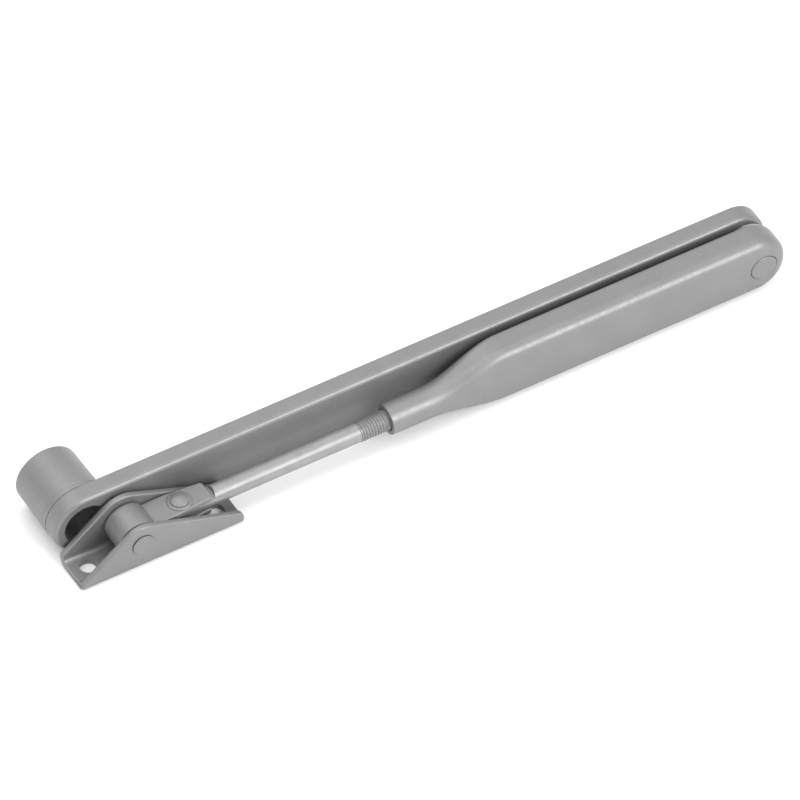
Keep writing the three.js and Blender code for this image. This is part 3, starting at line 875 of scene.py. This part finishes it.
def shoe_bracket():
    blank = slab(channel_section(), "X", shoe_low.x - OVER, shoe_high.x + OVER)
    ears = carve(
        slab(ear_outline(front_ear), "Y", shoe_low.y - OVER, rod_axis.y),
        slab(ear_outline(rear_ear), "Y", rod_axis.y, shoe_high.y + OVER),
        operation="UNION",
    )
    shoe = carve(blank, ears, operation="INTERSECT")
    ease(shoe, 0.75, segments=4, least_angle=50)
    front, rear = shoe_low.y, shoe_high.y
    hole = pin_radius + fit_gap
    wide = hole + (countersink + OVER) * countersink_slope
    drill = turned([
        (0, front - OVER), (wide, front - OVER), (hole, front + countersink),
        (hole, rear - countersink), (wide, rear + OVER), (0, rear + OVER),
    ], pin_axis, "Y", steps=60)
    drills = [drill]
    for x in (shoe_low.x + screw_inset, shoe_high.x - screw_inset):
        centre = Vector((x, rod_axis.y, 0))
        drills.append(bored(centre, "Z", screw_hole, shoe_low.z - OVER, shoe_low.z + shoe_sheet + OVER, 64))
    shoe = carve(shoe, *drills)
    finish_piece("shoe_bracket", shoe, "shoe", PAINT)


def shoe_pin():
    head = (pin_high.x - pin_low.x) / 2
    front_seat, rear_seat = shoe_low.y - fit_gap, shoe_high.y + fit_gap
    profile = rounded([
        (0, pin_low.y, 0),
        (head, pin_low.y, 0.3),
        (head, front_seat, 0),
        (pin_radius, front_seat, 0),
        (pin_radius, rear_seat, 0),
        (head, rear_seat, 0),
        (head, pin_high.y, 0.3),
        (0, pin_high.y, 0),
    ], False)
    finish_piece("shoe_pin", turned(profile, pin_axis, "Y"), "shoe", PAINT)


main_arm_bar()
arm_hub()
spindle_socket()
elbow_rivet()
elbow_spring_washer()
ring_piece("elbow_thrust_washer", thrust_low, thrust_high, 5.3, 0.15, "Y", "forearm", NYLON)
elbow_collar()
ring_piece("elbow_bushing", bush_low, bush_high, 5.1, 0.2, "Y", "forearm", BRONZE)
forearm_shell()
adjusting_rod()
swivel_link()
swivel_rivet()
swivel_washer("swivel_washer_upper", upper_washer_low, upper_washer_high, 1)
swivel_washer("swivel_washer_lower", lower_washer_low, lower_washer_high, -1)
ring_piece("pivot_sleeve", sleeve_low, sleeve_high, 4.3, 0.25, "Y", "link", BRONZE)
shoe_pin()
shoe_bracket()


# ---- Studio ----

def floor():
    size = 6.0
    shape = bmesh.new()
    bmesh.ops.create_grid(shape, x_segments=1, y_segments=1, size=size / 2)
    mesh = bpy.data.meshes.new("floor")
    shape.to_mesh(mesh)
    shape.free()
    surface = Surface("pale_floor", metallic=0.0, roughness=0.8)
    surface.shader.inputs["Base Color"].default_value = (0.93, 0.93, 0.93, 1)
    mesh.materials.append(surface.material)
    plane = bpy.data.objects.new("floor", mesh)
    bpy.context.scene.collection.objects.link(plane)


def area_light(name, direction, distance, size, power):
    """A soft square light, aimed at the object from a direction."""
    light = bpy.data.lights.new(name, "AREA")
    light.shape = "SQUARE"
    light.size = size
    light.energy = power
    lamp = bpy.data.objects.new(name, light)
    away = Vector(direction).normalized()
    lamp.location = away * distance
    lamp.rotation_euler = away.to_track_quat("Z", "Y").to_euler()
    bpy.context.scene.collection.objects.link(lamp)


def studio():
    area_light("key", (0.338, -0.738, 0.584), 1.6, 0.8, 17)
    area_light("top", (-0.2, 0.2, 1.0), 1.8, 2.4, 22.5)
    world = bpy.data.worlds.new("studio_sky")
    world.use_nodes = True
    world.node_tree.nodes["Background"].inputs["Color"].default_value = (1, 1, 1, 1)
    world.node_tree.nodes["Background"].inputs["Strength"].default_value = 1.03
    bpy.context.scene.world = world
    bpy.context.scene.view_settings.view_transform = "Standard"


def camera():
    azimuth, elevation = math.radians(-30.06), math.radians(47.6)
    distance = 11.235
    aim = ORIGIN + Vector((145.2, -10.0, -4.2)) * MM
    roll = math.radians(-0.2)
    forward = Vector((
        -math.sin(azimuth) * math.cos(elevation),
        math.cos(azimuth) * math.cos(elevation),
        -math.sin(elevation),
    ))
    lens = bpy.data.cameras.new("camera")
    lens.lens = 1250
    lens.sensor_width = 36
    view = bpy.data.objects.new("camera", lens)
    view.location = aim - forward * distance
    turn = forward.to_track_quat("-Z", "Y") @ Quaternion((0, 0, 1), roll)
    view.rotation_euler = turn.to_euler()
    bpy.context.scene.collection.objects.link(view)
    bpy.context.scene.camera = view


floor()
studio()
camera()
